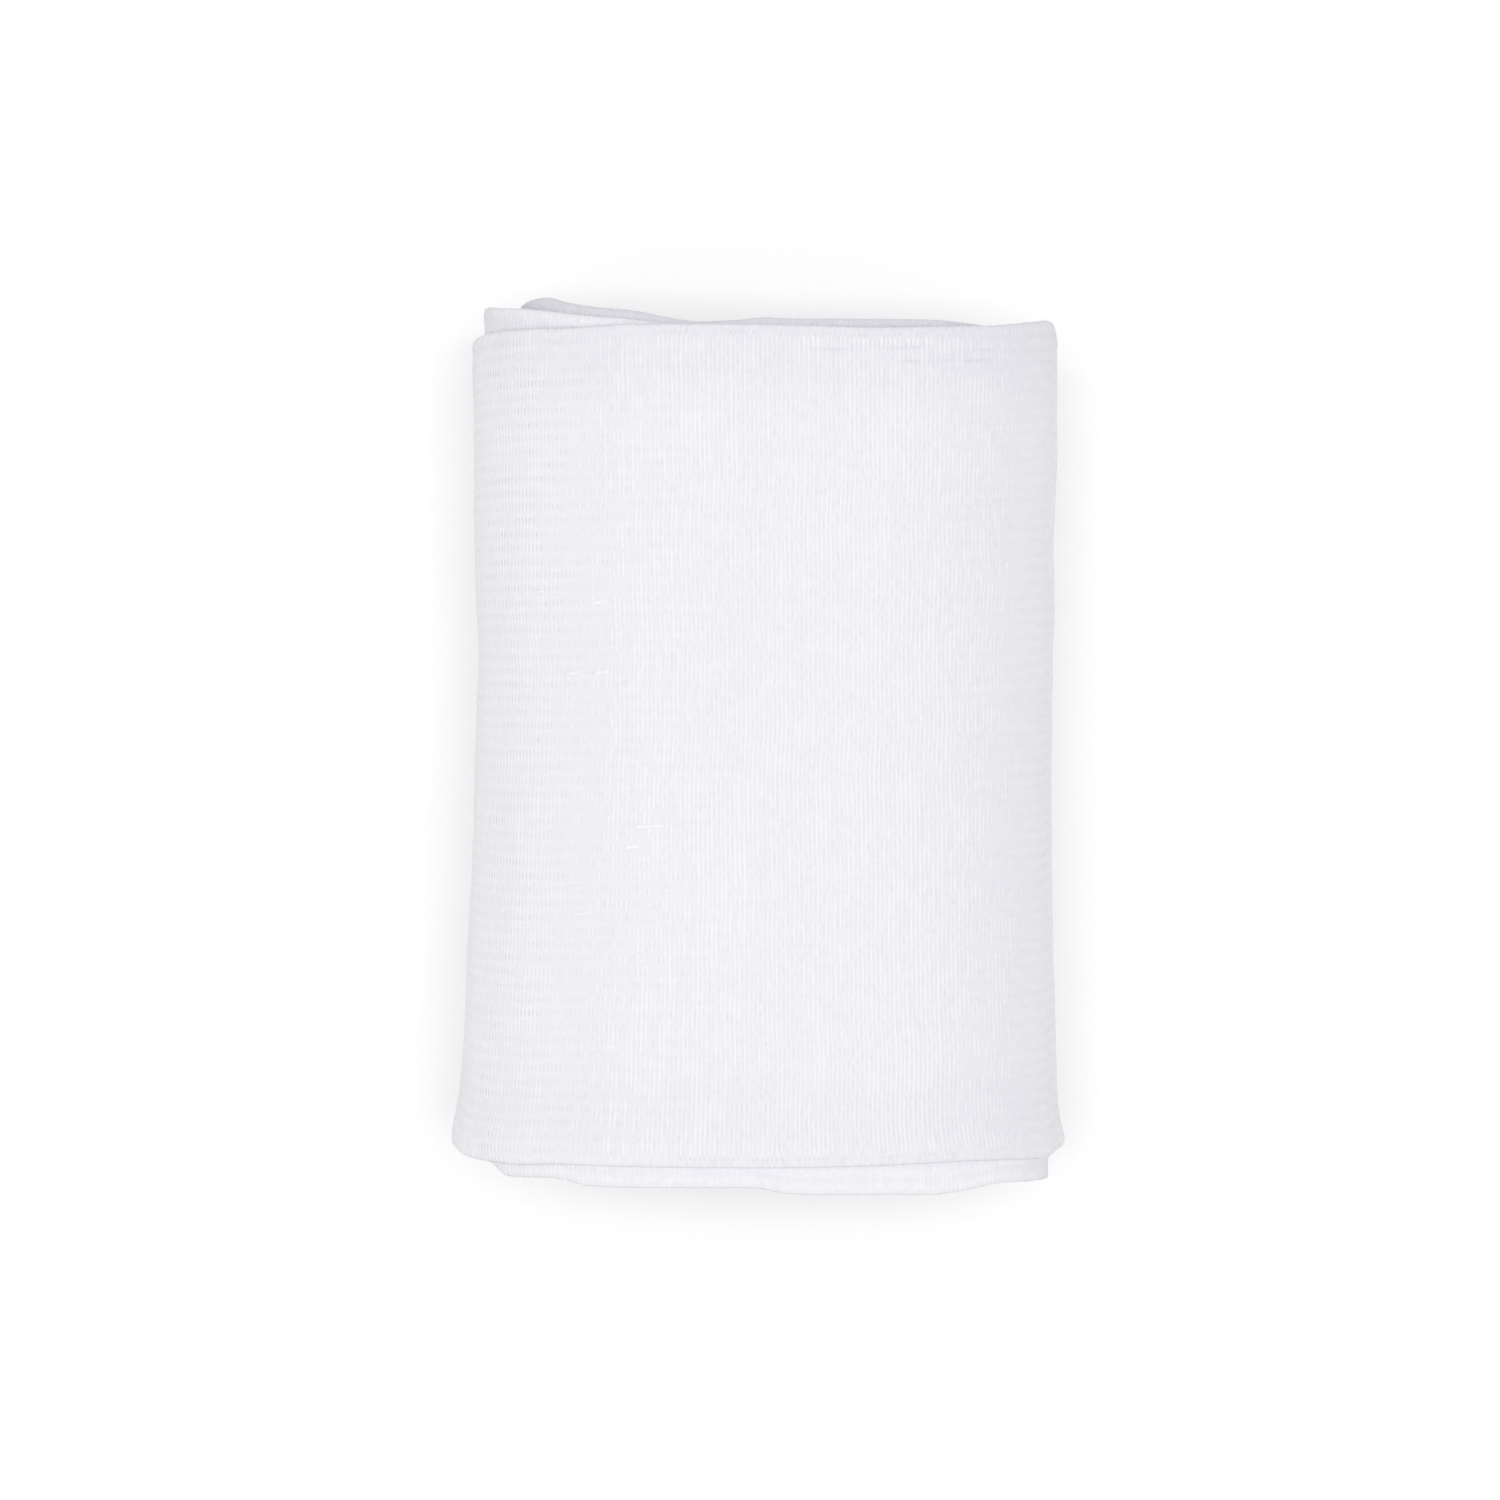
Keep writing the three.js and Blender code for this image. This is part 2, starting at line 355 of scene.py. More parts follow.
# Places of the points across the strip: by the outer turn's edges, in each row, and on the plainer faces
RIM_COLUMNS = np.concatenate([[0, 0.15, 0.4, 0.8, 1.2], ROW_PITCH * np.array([1, 1.2, 1.5, 1.8])])
ROW_COLUMNS = np.array([0, 0.17, 0.5, 0.83])
COARSE_COLUMNS = np.array([0, 0.15, 0.35, 0.65, 1.0, 1.5, 2.0, 2.5, 3.0, 3.5, 4.1, 5.5, 10, 25])
INNER_COLUMNS = np.array([0, 0.3, 0.9, 2.0, 4.5, 15])

# Layers between the outer face, 0, and the inner one, 1: the rims, and where raised ribs aren't laid any more
RIM_LAYER = 0.5
OUTER_FACE_END = 0.25

# Places round the strip's section past its outer face: top rim, inner face, bottom rim, back at the start
TOP_RIM_PLACE = 1.1 * STRIP_WIDTH
INNER_FACE_PLACE = 2.2 * STRIP_WIDTH
BOTTOM_RIM_PLACE = 2.3 * STRIP_WIDTH
CLOSING_PLACE = 2.4 * STRIP_WIDTH

# One loop of the knitted edge: length along the strip, distance from the edge, layer, height over the face
EDGE_LOOP = np.array(
    [
        (0.00, 1.70, 0.0, -0.18),
        (0.16, 1.20, 0.0, -0.08),
        (0.31, 0.65, 0.0, -0.06),
        (0.44, 0.12, 0.0, -0.07),
        (0.51, -0.06, 0.5, 0.0),
        (0.58, 0.15, 1.0, -0.07),
        (0.68, 0.95, 1.0, -0.18),
    ]
)
LOOP_PITCH = 0.66
LOOP_RADIUS = 0.13
LOOP_SIDES = 4
BOTTOM_LOOP_DEPTH = 0.035
TOP_LOOP_SEED = 5
BOTTOM_LOOP_SEED = 6

# A small step along the strip, in turns, that gives the strip's direction
TURN_STEP = 0.002

# The first loop's place, how far before the strip's end the last one is, and how the loops differ
FIRST_LOOP = 0.6
LAST_LOOP = 1.2
LOOP_STRAY = 0.16
LOOP_REACHES = (0.82, 1.15)
LOOP_SLANTS = (0.7, 1.5)
LOOP_SIZES = (0.8, 1.2)

# Bright lengthwise floats of yarn: place along the strip in turns, place across it in millimetres, length
FLOATS = [
    (0.518, 40.4, 3.7),
    (0.503, 37.9, 1.7),
    (0.464, 33.0, 1.3),
    (0.468, 29.9, 2.3),
    (0.437, 68.5, 1.8),
    (0.459, 58.7, 2.3),
    (0.478, 58.7, 2.0),
    (0.478, 67.1, 2.0),
]
FLOAT_HALF_WIDTH = 0.34
FLOAT_HEIGHT = 0.1
FLOAT_FLATNESS = 4
FLOAT_SWAY = 0.05
FLOAT_SWAY_RATE = 5
FLOAT_SHARES = np.array([-0.5, -0.4, -0.15, 0.15, 0.4, 0.5])[:, None]

# Colours: the brightest yarn, and the bluish colour of a gap in shade, which darker tones and all painted
# shade mix towards; and how fast a shade goes from one to the other
BRIGHT_YARN = (0.9, 0.894, 0.919, 1)
SHADED_GAP = (0.58, 0.572, 0.628, 1)
BRIGHT_SHARE = 0.2
SHADE_SHARE = 0.8

# Shades of the knit's ground, and what each part adds to it: painted shade between the ribs and in their
# gaps, in the slits, under the top edge's loops, in the creases and under the edge of the turn above;
# stitches, grain, blotches and painted ribs are its pattern
GROUND_SHADE = 0.1
BETWEEN_RIBS_PAINTED_SHADE = 0.15
GAP_PAINTED_SHADE = 0.2
GAP_PAINTED_SHADE_RIGHT = 0.09
PAINTED_RIB_SHADE = -0.04
STITCH_SHADE = -0.17
GRAIN_SHADE = -0.18
SLIT_PAINTED_SHADE = 0.4
BLOTCH_SHADE = 0.3
HEM_PAINTED_SHADE = 0.04
HEM_STEP = (1.3, 1.9)
CREASE_PAINTED_SHADE = 0.2
COVERED_SHADE = 0.5

# Where the painted shade in the gaps is deeper, where the far right's blotches set in, and where ribs are
# darker at the sides
DEEP_GAPS = (0.7, 0.78)
BLOTCHES = (0.76, 0.82)
SIDE_RIBS = [(0.72, 0.8), (0.52, 0.45)]

# Where the raised ribs' area ends on the right, and how deep the painted shade in the gaps between them
# varies
RAISED_END_FADE = 0.02
GAP_DEPTHS = (-0.2, 0.2)
GAP_DETAIL = 1.0

# Painted shade in the slits comes in patches, in the valleys of the painted ribs' wave
SLIT_PATCHES = (-0.15, 0.15)
SLIT_VALLEYS = (-0.1, -0.8)

# Slits show more towards the top: from and to across the strip, and their shares there
SLIT_GROWTH = (50.0, 85.0, 0.85, 1.35)

# Painted ribs and rows: how much single stitches and rows differ, and what all have
STITCH_SHARES = (1.4, 0.3)
ROW_SHARES = (0.45, 0.6)
ROW_BAND = (-0.4, 0.4)
RIB_DRIFT = 0.8

# Painted shade in the rows' valleys: how dark, and the step along the strip where it sets in
ROW_PAINTED_SHADES = [(0.035, (0.77, 0.82)), (0.008, (0.58, 0.5))]

# Shades of the yarns, and how much single stitches of the edges differ
RIB_SHADE = 0.145
SIDE_RIB_SHADE = 0.01
STROKE_SHADE = -0.1
FIBRE_SHADE = -0.2
TOP_EDGE_SHADE = 0.08
# Painted light: the bottom edge's loops are lighter, against the shade along that edge
BOTTOM_EDGE_PAINTED_LIGHT = -0.03
# The floats stand up and catch real light, and their yarn is painted brighter too, a painted highlight
FLOAT_PAINTED_HIGHLIGHT = 0.07
EDGE_STITCH_RANGE = 0.14

# Painted light and shade along the strip: a little lighter at the roll's far left, darker on its upper left
# and its right side, and on the second and the inner turns; shade, the step where each sets in and the one
# where it ends
STRETCH_PAINTED_SHADING = [
    (-0.1, (0.28, 0.33), (0.42, 0.38)),
    (0.08, (0.38, 0.42), (0.52, 0.44)),
    (0.125, (0.67, 0.79), (0.845, 0.785)),
    (0.12, (1.05, 1.3), None),
    (0.36, (2.2, 3.6), None),
]

# The outer turn's darker ends: shade, and the step across the strip; the bottom one fades by the edge
TOP_END = (0.11, 88.0, 97.0)
BOTTOM_END = (0.055, 13.0, 7.0)
BOTTOM_END_FADE = (0.8, 3.5)
OUTER_TURN_STEP = (1.0, 0.97)

# How often soft noise changes in each millimetre along and across the strip
DRIFT_RATES = (0.15, 0.1)
GAP_RATES = (1.3 / RIB_PITCH, 1.5 / ROW_PITCH)
GRAIN_RATES = (3.4, 1.5)
PATCH_RATES = (0.3, 0.7)
BLOTCH_RATES = (0.6, 1.6)
FIBRE_RATES = (7.0, 2.6)

# Depths of the finest relief, in millimetres
GRAIN_BUMP = 0.018
FIBRE_BUMP = 0.02

# How rough all surfaces are, and how little they shine
ROUGHNESS = 0.95
SHINE = 0.2

# The table, the light and the camera, in metres and watts; the camera's lens in millimetres
TABLE_TOP = (0.89, 0.89, 0.89, 1)
TABLE_GLOW = 0.05
TABLE_HALF_WIDTH = 3.0
WHITE = (1, 1, 1, 1)
ROOM_BRIGHTNESS = 0.7
LAMP_POWER = 7.5
LAMP_WIDTH = 1.2
LAMP_DEPTH = 0.54
LAMP_PLACE = (0.02, 0.015, 1.2)
CAMERA_PLACE = (-0.00087, -0.00115, 0.4)
CAMERA_LENS = 73.2
SENSOR_WIDTH = 36


def smooth(value):
    """0 below 0, 1 above 1 and a soft step between."""
    value = np.clip(value, 0, 1)
    return value * value * (3 - 2 * value)


def from_table(rows, column, place, spread):
    """A column of a table at a place, smoothed over the spread to both sides."""
    offsets = np.linspace(-spread, spread, SPREAD_STEPS)
    return sum(np.interp(place + offset, rows[:, 0], rows[:, column]) for offset in offsets) / SPREAD_STEPS


def waves(seed, along, across, wavelength):
    """An even, seeded field of soft waves of about that length, from -1 to 1."""
    chance = np.random.default_rng(seed)
    total = 0
    for _ in range(WAVE_COUNT):
        direction = chance.uniform(0, 2 * math.pi)
        rate = 2 * math.pi / (wavelength * chance.uniform(*WAVE_LENGTHS))
        phase = chance.uniform(0, 2 * math.pi)
        total = total + np.sin(rate * (along * math.cos(direction) + across * math.sin(direction)) + phase)
    return total / math.sqrt(WAVE_COUNT * 2)


def beside(turn):
    """0 on top of the roll and 1 at its sides and below."""
    return smooth(np.abs(turn % 1 - TOP_MIDDLE) / SIDE_STEP - SIDE_START)


def stadium_point(share, radius):
    """A point of the round-ended form about the core, at a share of one turn from the underside right."""
    low = CORE_HALF_LENGTH * (1 - 2 * share / FLAT_SHARE)
    left = math.pi * (-0.5 - (share - FLAT_SHARE) / ARC_SHARE)
    high = CORE_HALF_LENGTH * (2 * (share - FLAT_SHARE - ARC_SHARE) / FLAT_SHARE - 1)
    right = math.pi * (0.5 - (share - 2 * FLAT_SHARE - ARC_SHARE) / ARC_SHARE)
    x = [low, radius * np.cos(left) - CORE_HALF_LENGTH, high, radius * np.cos(right) + CORE_HALF_LENGTH]
    z = [-radius, radius * np.sin(left), radius, radius * np.sin(right)]
    part = np.digitize(share, [FLAT_SHARE, FLAT_SHARE + ARC_SHARE, 2 * FLAT_SHARE + ARC_SHARE])
    return np.choose(part, x), np.choose(part, z)


def winding_depth(turn):
    """How far below the outer surface the strip's outer face lies."""
    swing = WOBBLE_SWING * np.sin(WOBBLE_SWING_RATE * turn)
    wobble = WOBBLE_HEIGHT * smooth(turn - 1) * np.sin(WOBBLE_RATE * turn + swing)
    return TURN_PITCH * turn + wobble * smooth((TURNS - turn) / WOBBLE_FADE)


def roll_point(turn, depth, along):
    """Points of the roll, for places in turns, depths below the surface and places along the axis."""
    radius = HALF_HEIGHT - depth
    flat_x, flat_z = stadium_point(turn % 1, radius)
    power = np.where(flat_z > 0, CROWN_POWER, BELLY_POWER)
    size = np.maximum(radius, SMALLEST_RADIUS)
    reach = np.abs(flat_x) / (CORE_HALF_LENGTH + size)
    rise = np.minimum(np.abs(flat_z) / size, 1)
    oval = (reach**power + rise**power) ** (-1 / power)
    scale = 1 + (oval - 1) * (size / HALF_HEIGHT) ** OVAL_SHARE_POWER
    left = from_table(SIDES, 1, along, SIDE_SPREAD)
    right = from_table(SIDES, 2, along, SIDE_SPREAD)
    x = flat_x * scale * np.where(flat_x < 0, left, right) / (CORE_HALF_LENGTH + HALF_HEIGHT)
    z = flat_z * scale + HALF_HEIGHT - SETTLE
    layers_below = np.maximum(depth - TURN_PITCH * (turn % 1), 0)
    z = np.maximum(z, layers_below * LAYER_PRESS)
    in_core = smooth((turn - TURNS - FLAT_SHARE) / CORE_SAG_FADE)
    z = z - in_core * (CORE_SAG + CORE_SAG_WAVE * np.sin(along / CORE_SAG_LENGTH + CORE_SAG_PHASE))
    return np.stack([x + CORE_PLACE[0], along + CORE_PLACE[1] + 0 * x, z], axis=-1)


def strip_lengths():
    """Turns, and the strip's length up to each of them, in millimetres."""
    turns = np.linspace(0, TURNS + CORE_TURNS, LENGTH_STEPS)
    line = roll_point(turns, winding_depth(turns) + CLOTH_THICKNESS / 2, np.zeros_like(turns))
    steps = np.linalg.norm(np.diff(line, axis=0), axis=1)
    return turns, np.concatenate([[0], np.cumsum(steps)])


LENGTH_TURNS, LENGTHS = strip_lengths()


def length_at(turn):
    """The strip's length up to a place given in turns."""
    return float(np.interp(turn, LENGTH_TURNS, LENGTHS))


def ramp(length, from_turn, to_turn):
    """A soft step from 0 to 1 along the strip, between two places given in turns."""
    start = length_at(from_turn)
    return smooth((length - start) / (length_at(to_turn) - start))


def along_axis(turn, across):
    """Places on the roll's axis, for places across the strip from its bottom edge."""
    bottom = from_table(EDGES, 2, turn, EDGE_SPREAD)
    top = from_table(EDGES, 1, turn, EDGE_SPREAD)
    return bottom + (top - bottom) * across / STRIP_WIDTH


def row_relief(across):
    """The rounded back of each lengthwise row, with a narrow valley between two."""
    back = np.abs(np.sin(math.pi * across / ROW_PITCH)) ** ROW_ROUNDNESS
    return ROW_HEIGHT * (back - ROW_LEVEL)


def relief(turn, across):
    """How far the outer turn's face stands out: rows, soft unevenness and creases."""
    length = np.interp(turn, LENGTH_TURNS, LENGTHS)
    seed, finer, wavelength = ROW_WAVES
    uneven = waves(seed, length, across * finer, wavelength)
    height = row_relief(across) * (1 - ROW_UNEVENNESS + ROW_UNEVENNESS * uneven)
    for seed, most, finer, wavelength in UNEVENNESS:
        height = height + most * waves(seed, length, across * finer, wavelength)
    for start, end, place, half_width, crease in CREASES:
        middle = place + CREASE_WANDER * waves(CREASE_SEED + int(place), length, 0, CREASE_WANDER_LENGTH)
        run = smooth((turn - start) / CREASE_START_FADE) * smooth((end - turn) / CREASE_END_FADE)
        height = height + crease * run * np.exp(-(((across - middle) / half_width) ** 2))
    return height


def edge_form(turn, across):
    """How far each place drops by the edges, how closely it hugs the turn below, and how near its edge is."""
    to_edge = np.maximum(np.minimum(across, STRIP_WIDTH - across), 0)
    at_top = (across > STRIP_WIDTH / 2).astype(int)
    near = 1 - np.minimum(to_edge / SHOULDER_LENGTH, 1)
    hug = np.clip(np.minimum(turn, 1 - turn) / SHOULDER_FADE, 0, 1) * near**2
    drop = np.take(SHOULDER_DROP, at_top) * (1 + (SIDE_SHOULDER_SHARE - 1) * beside(turn)) * hug
    thin = (1 - np.minimum(to_edge / EDGE_THINNING_LENGTH, 1)) ** 2
    thinning = np.take(EDGE_THINNING, at_top) * thin * (1 + (SIDE_THINNING_SHARE - 1) * beside(turn))
    return drop, hug, thin, thinning


def droop_depth(turn, along):
    """How far the cloth sinks that reaches out past the turn above it at the top."""
    droop = DROOP_RATE * np.maximum(along - DROOP_START, 0) ** 2 * smooth(turn - DROOP_FROM_TURN)
    start, end = FLAP_TURNS
    in_second_turn = smooth((turn - start) / FLAP_FADE) * smooth((end - turn) / FLAP_FADE)
    droop = droop + FLAP_DROOP * in_second_turn * smooth((along - FLAP_START) / FLAP_LENGTH)
    return droop * (1 - beside(turn))


def cloth_point(turn, across, layer, lift=0):
    """Points of the strip, lifted over its face. The layer is 0 on the outer face and 1 on the inner one."""
    along = along_axis(turn, across)
    drop, hug, thin, thinning = edge_form(turn, across)
    in_outer_turn = smooth((RELIEF_END - turn) / RELIEF_FADE)
    outer = drop + thinning
    outer = outer - relief(turn, across) * in_outer_turn * (1 - EDGE_RELIEF_LOSS * thin)
    inner = CLOTH_THICKNESS - thinning * (1 - hug)
    inner = inner + (TURN_PITCH - HUG_GAP - CLOTH_THICKNESS) * hug
    depth = winding_depth(turn) + outer + (inner - outer) * layer + droop_depth(turn, along)
    return roll_point(turn, depth - lift * np.where(layer < RIM_LAYER, 1, -1), along)


def ring_turns():
    """The places of all rings of points along the strip, and how many of them belong to the outer turn."""
    parts = [np.arange(count) / count + turn for turn, count in enumerate(RINGS)]
    parts.append(TURNS + CORE_TURNS * np.linspace(0, 1, CORE_RINGS))
    return np.concatenate(parts), RINGS[0] + MORE_FINE_RINGS


def mirrored(places):
    """Places across the strip's lower half, and the same ones from the top edge."""
    return np.concatenate([places, STRIP_WIDTH - places[::-1]])


def outer_columns():
    """Places across the outer face, for the outer turn and for the others."""
    rows = np.arange(2, ROW_COUNT - 2)[:, None] + ROW_COLUMNS
    fine = np.concatenate([RIM_COLUMNS, rows.ravel() * ROW_PITCH, STRIP_WIDTH - RIM_COLUMNS[::-1]])
    return fine, mirrored(COARSE_COLUMNS)


def section_ring(outer):
    """One ring round the strip's section: places across, layers, and places round the ring."""
    inner = mirrored(INNER_COLUMNS)[::-1]
    across = np.concatenate([outer, [STRIP_WIDTH + RIM_REACH], inner, [-RIM_REACH]])
    layer = np.concatenate([0 * outer, [RIM_LAYER], 0 * inner + 1, [RIM_LAYER]])
    round_ring = np.concatenate([outer, [TOP_RIM_PLACE], INNER_FACE_PLACE - inner, [BOTTOM_RIM_PLACE]])
    return across, layer, round_ring


def zip_rows(first, first_places, second, second_places):
    """Triangles between two rows of points that run the same way."""
    faces = []
    i = 0
    j = 0
    while i + 1 < len(first) or j + 1 < len(second):
        first_next = first_places[i + 1] if i + 1 < len(first) else math.inf
        second_next = second_places[j + 1] if j + 1 < len(second) else math.inf
        if first_next <= second_next:
            faces.append((first[i], second[j], first[i + 1]))
            i += 1
        else:
            faces.append((first[i], second[j], second[j + 1]))
            j += 1
    return faces


def ring_faces(first, first_round, second, second_round):
    """Faces between two neighbouring rings: quads where their points match, else triangles."""
    first = [*first, first[0]]
    second = [*second, second[0]]
    if len(first) == len(second):
        return list(zip(first[:-1], second[:-1], second[1:], first[1:]))
    return zip_rows(first, [*first_round, CLOSING_PLACE], second, [*second_round, CLOSING_PLACE])


def end_faces(ring, across, outer_count):
    """Triangles that close an end of the strip, between its outer and its inner row of points."""
    inner_row = list(ring[outer_count:])[::-1]
    return zip_rows(inner_row, across[outer_count:][::-1], list(ring[:outer_count]), across[:outer_count])


def make_mesh(name, points, faces, places):
    """A smooth mesh object in metres that keeps its points' places on the strip."""
    mesh = bpy.data.meshes.new(name)
    mesh.from_pydata((points * MM).tolist(), [], faces)
    kept = mesh.attributes.new("strip_place", "FLOAT_VECTOR", "POINT")
    kept.data.foreach_set("vector", places.astype(np.float32).ravel())
    mesh.polygons.foreach_set("use_smooth", [True] * len(mesh.polygons))
    mesh.update()
    piece = bpy.data.objects.new(name, mesh)
    bpy.context.collection.objects.link(piece)
    return piece


def keep_values(piece, key, values):
    """Keeps one value for each point of a piece, for its material."""
    kept = piece.data.attributes.new(key, "FLOAT", "POINT")
    kept.data.foreach_set("value", values.astype(np.float32).ravel())


def make_strip():
    """The wound strip, as one closed mesh."""
    turns, fine_rings = ring_turns()
    columns = outer_columns()
    kinds = [section_ring(outer) for outer in columns]
    points = []
    places = []
    rings = []
    count = 0
    for number, turn in enumerate(turns):
        across, layer, round_ring = kinds[0 if number < fine_rings else 1]
        points.append(cloth_point(np.full(len(across), turn), across, layer))
        length = np.interp(turn, LENGTH_TURNS, LENGTHS)
        places.append(np.stack([0 * across + length, across, layer], axis=-1))
        rings.append((range(count, count + len(across)), round_ring))
        count += len(across)
    faces = end_faces(rings[0][0], kinds[0][0], len(columns[0]))
    for ring, following in zip(rings[:-1], rings[1:]):
        faces += ring_faces(*ring, *following)
    faces += [face[::-1] for face in end_faces(rings[-1][0], kinds[1][0], len(columns[1]))]
    places = np.concatenate(places)
    strip = make_mesh("bandage_strip", np.concatenate(points), faces, places)
    keep_values(strip, "rib_show", knit_look(places[:, 0], places[:, 1]))
    keep_values(strip, "covered", covered_share(places))
    return strip


def covered_share(places):
    """How much the top edge of the turn above shades each place of the outer face, from 0 to 1."""
    turn = np.interp(places[:, 0], LENGTHS, LENGTH_TURNS)
    past_edge = along_axis(turn, places[:, 1]) - from_table(EDGES, 1, turn - 1, EDGE_SPREAD)
    near = smooth(1 - np.maximum(past_edge, 0) / COVERED_REACH)
    return near * (turn > 1) * (places[:, 1] > STRIP_WIDTH / 2) * (places[:, 2] < RIM_LAYER)


def tube_faces(tubes, rings, sides):
    """Faces of equal closed tubes whose points are numbered by tube, then by ring, then round it."""
    faces = []
    for start in range(0, tubes * rings * sides, rings * sides):
        for ring in range(start, start + (rings - 1) * sides, sides):
            for side in range(sides):
                following = (side + 1) % sides
                faces.append((ring + side, ring + following, ring + following + sides, ring + side + sides))
        last = start + (rings - 1) * sides
        faces.append(tuple(reversed(range(start, start + sides))))
        faces.append(tuple(range(last, last + sides)))
    return faces


def knit_look(length, across):
    """How far the ribs stand up: on the left only between the rows, and less in some soft patches."""
    bulge = OPEN_BULGE * np.exp(-(((across - OPEN_BULGE_PLACE) / OPEN_BULGE_HALF_WIDTH) ** 2))
    is_open = ramp(length - bulge, OPEN_TO, OPEN_FROM)
    patches = 1.0
    for seed, weight, finer_along, finer_across, wavelength in PATCH_WAVES:
        patches = patches + weight * waves(seed, length * finer_along, across * finer_across, wavelength)
    show = 1 - (PATCH_LOSS + OPEN_PATCH_LOSS * is_open) * (1 - smooth(patches))
    right_loss = RIGHT_LOSS + RIGHT_PATCH_LOSS * (1 - smooth(patches - RIGHT_PATCH_START))
    show = show * (1 - ramp(length, *RIGHT_FADE) * right_loss)
    show = show * (1 - LAST_LOSS * ramp(length, *LAST_FADE))
    in_row = np.sin(math.pi * across / ROW_PITCH) ** 2
    return show * (1 - is_open * smooth(OPEN_ROW_GAIN * in_row - OPEN_ROW_START))


def blended_chance(chance, ribs, stations, weights):
    """Chance values for every station of every rib, blended along the ribs."""
    raw = chance.normal(size=(ribs, stations + len(weights) - 1))
    blended = np.stack([np.convolve(row, weights, "valid") for row in raw])
    return blended / math.sqrt((weights**2).sum())


def bright_strokes(chance, length, across, shape):
    """What the row of bright stitches adds to the strokes."""
    start, end, place, half_width = BRIGHT_STITCHES
    bright = (length > length_at(start)) * (length < length_at(end)) * (np.abs(across - place) < half_width)
    return BRIGHT_STROKE * bright * smooth(chance.uniform(*BRIGHT_CHANCE, shape))


def rib_shape(chance, length, across):
    """How bright and how high each rib is, at its places along and across the strip."""
    short = blended_chance(chance, len(length), len(across), SHORT_STROKE)
    long = blended_chance(chance, len(length), len(across), LONG_STROKE)
    long = LONG_STROKE_SHARE * long * (1 - ramp(length, *LONG_STROKE_FADE))
    strokes = np.tanh(STROKE_GAIN * (short + long))
    in_valleys = ROW_STROKE + LEFT_ROW_STROKE * ramp(length, *LEFT_ROWS)
    strokes = strokes - in_valleys * np.cos(2 * math.pi * across / ROW_PITCH)
    strokes = strokes + bright_strokes(chance, length, across, strokes.shape)
    show = knit_look(length, across) * smooth(np.minimum(across, STRIP_WIDTH - across) / RIB_END_FADE)
    show = show * ramp(length, SLITS_TO, RIBS_FROM) * smooth((length_at(RIBS_TO) - length) / LAST_RIBS_FADE)
    height = RIB_HEIGHT * (RIB_BASE_HEIGHT + RIB_STROKE_HEIGHT * strokes)
    return strokes, np.clip(height * show - RIB_SUNK_DEPTH * (1 - show), -RIB_SUNK_DEPTH, RIB_MOST_HEIGHT)


def section_lifts(height):
    """Heights over the face of the corners of a rib's section, with its feet below the face."""
    return (height + RIB_FOOT_DEPTH) * RIB_BACK - RIB_FOOT_DEPTH


def make_ribs():
    """The raised ribs of yarn that run across the strip."""
    chance = np.random.default_rng(RIB_SEED)
    start = np.arange(length_at(SLITS_TO) + RIB_PITCH, length_at(RIBS_TO), RIB_PITCH)[:, None]
    across = ROW_PITCH / 2 * np.arange(1, 2 * ROW_COUNT)[None, :]
    strokes, height = rib_shape(chance, start, across[0])
    length = start + RIB_SWAY * waves(RIB_SWAY_SEED, start * RIB_SWAY_CHANGE, across, RIB_SWAY_LENGTH)
    length = length + chance.normal(0, RIB_STRAY, start.shape)
    length = length + chance.normal(0, PLACE_STRAY, strokes.shape)
    half_width = RIB_HALF_WIDTH * (1 + RIB_STROKE_WIDTH * strokes)
    corners = length[:, :, None] + half_width[:, :, None] * RIB_SIDE
    turn = np.interp(corners, LENGTHS, LENGTH_TURNS)
    across = np.broadcast_to(across[:, :, None], turn.shape)
    points = cloth_point(turn, across, 0 * turn, section_lifts(height[:, :, None]))
    places = np.stack([corners, across, 0 * turn], axis=-1)
    faces = tube_faces(len(start), across.shape[1], len(RIB_SIDE))
    ribs = make_mesh("ribs", points.reshape(-1, 3), faces, places.reshape(-1, 3))
    keep_values(ribs, "stroke", np.broadcast_to(strokes[:, :, None], turn.shape))
    return ribs


def make_floats():
    """Short bright pieces of yarn that lie lengthwise over the ribs."""
    side = RIB_SIDE[::-1]
    points = []
    places = []
    for turn, place, float_length in FLOATS:
        length = length_at(turn) + float_length * FLOAT_SHARES + 0 * side
        lift = section_lifts(FLOAT_HEIGHT * (1 - (2 * FLOAT_SHARES) ** FLOAT_FLATNESS))
        across = place + FLOAT_HALF_WIDTH * side + FLOAT_SWAY * np.sin(FLOAT_SWAY_RATE * FLOAT_SHARES)
        points.append(cloth_point(np.interp(length, LENGTHS, LENGTH_TURNS), across, 0 * length, lift))
        places.append(np.stack([length, across, 0 * length], axis=-1))
    points = np.concatenate(points).reshape(-1, 3)
    faces = tube_faces(len(FLOATS), len(FLOAT_SHARES), len(side))
    return make_mesh("floats", points, faces, np.concatenate(places).reshape(-1, 3))


def unit(vectors):
    """The same directions with a length of 1."""
    return vectors / np.linalg.norm(vectors, axis=-1, keepdims=True)


def loop_places(chance, at_top):
    """Lengths and turns along the strip, places across it and layers of every loop's points."""
    starts = np.arange(FIRST_LOOP, LENGTHS[-1] - LAST_LOOP, LOOP_PITCH)
    starts = starts + chance.uniform(-LOOP_STRAY, LOOP_STRAY, len(starts))
    reach = chance.uniform(*LOOP_REACHES, len(starts))[:, None]
    length = starts[:, None] + EDGE_LOOP[:, 0] * chance.uniform(*LOOP_SLANTS, len(starts))[:, None]
    turn = np.interp(length, LENGTHS, LENGTH_TURNS)
    from_edge = EDGE_LOOP[:, 1] * np.where(EDGE_LOOP[:, 1] > 0, reach, 1)
    across = STRIP_WIDTH - from_edge if at_top else from_edge
    return length, turn, across, np.broadcast_to(EDGE_LOOP[:, 2], turn.shape)


